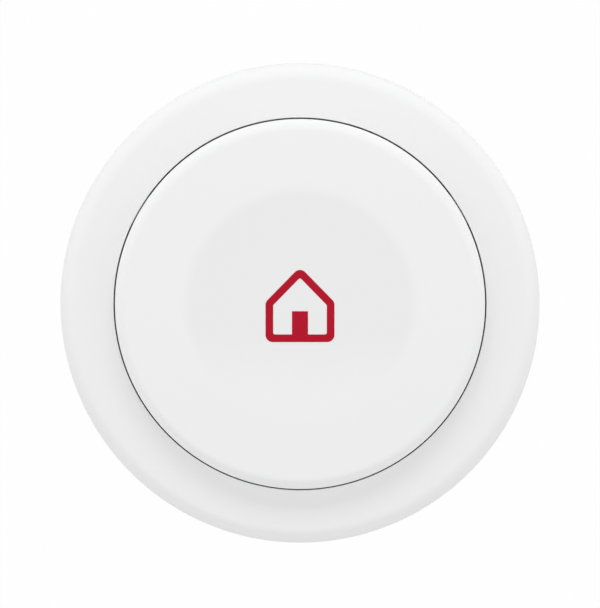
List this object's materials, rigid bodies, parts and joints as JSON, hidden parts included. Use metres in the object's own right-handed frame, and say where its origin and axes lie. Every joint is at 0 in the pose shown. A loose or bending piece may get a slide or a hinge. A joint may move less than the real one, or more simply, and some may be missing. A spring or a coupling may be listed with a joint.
{
  "type": "smart button",
  "caption": "Round wireless press button with a sprung cap in a fixed ring, a coin-cell door in its back and a magnetic wall plate with adhesive pad and screw holes.",
  "frame": {"origin": "centre of the adhesive pad's back, on the wall", "axes": "+Z is the press axis, away from the wall and towards the user; +Y is up on the wall; +X is to the right, seen from the front"},
  "size_m": [0.06, 0.06, 0.017],
  "materials": {
    "cap_plastic": "fine satin, moulded",
    "ring_plastic": "fine satin, moulded",
    "case_plastic": "fine spark texture, moulded",
    "plate_plastic": "spark texture, moulded",
    "mark_plastic": "satin red, two-shot moulded",
    "frame_plastic": "moulded, matt",
    "stem_plastic": "moulded, matt",
    "switch_plastic": "moulded, matt",
    "foam": "white acrylic foam tape",
    "seal_rubber": "matt elastomer",
    "steel": "zinc plated",
    "spring_steel": "drawn wire",
    "cell_steel": "bright nickel plated",
    "contact_metal": "nickel plated spring strip",
    "magnet_plating": "nickel plated",
    "board": "green solder mask",
    "ceramic": "glazed ceramic",
    "chip_ceramic": "fired ceramic",
    "led_resin": "clear resin over phosphor",
    "clear_plastic": "clear moulded"
  },
  "bodies": {
    "wall_mount": {"adhesive_pad": "foam", "wall_plate": "plate_plastic", "steel_ring": "steel"},
    "device": {"rear_case": "case_plastic", "front_housing": "ring_plastic", "magnets": "magnet_plating", "coin_cell": "cell_steel", "contact_positive": "contact_metal", "contact_negative": "contact_metal", "pcb": "board", "pcb_screws": "steel", "case_screws": "steel", "inner_frame": "frame_plastic", "return_springs": "spring_steel", "switch_body": "switch_plastic", "switch_dome": "contact_metal", "switch_cover": "contact_metal", "switch_leads": "contact_metal", "radio_module": "board", "radio_shield": "contact_metal", "chip_antenna": "ceramic", "crystal": "contact_metal", "capacitors": "chip_ceramic", "resistors": "switch_plastic", "status_led": "led_resin", "light_guide": "clear_plastic", "pairing_switch": "switch_plastic"},
    "press_cap": {"press_cap": "cap_plastic", "cap_mark": "mark_plastic"},
    "switch_plunger": {"switch_plunger": "stem_plastic"},
    "battery_door": {"battery_door": "case_plastic", "door_seal": "seal_rubber"},
    "pairing_stem": {"pairing_stem": "stem_plastic"}
  },
  "joints": [
    {"name": "lift_off", "type": "slide", "parent": "wall_mount", "child": "device", "axis": [0, 0, 1], "range_m": [0, 0.015]},
    {"name": "cap_press", "type": "slide", "parent": "device", "child": "press_cap", "axis": [0, 0, -1], "range_m": [0, 0.0005], "stiffness_N_per_m": 800, "springref_m": -0.002, "deforming": ["return_springs", "switch_dome"]},
    {"name": "plunger_press", "type": "slide", "parent": "device", "child": "switch_plunger", "axis": [0, 0, -1], "range_m": [0, 0.0005]},
    {"name": "door_turn", "type": "hinge", "parent": "device", "child": "battery_door", "pos_m": [0, 0, 0.0033], "axis": [0, 0, 1], "range_deg": [0, 35]},
    {"name": "pairing_press", "type": "slide", "parent": "device", "child": "pairing_stem", "axis": [0, 0, 1], "range_m": [0, 0.00025], "stiffness_N_per_m": 4000, "springref_m": -0.0003}
  ],
  "couplings": [
    {"joint": "plunger_press", "follows": "cap_press", "ratio": 1}
  ]
}
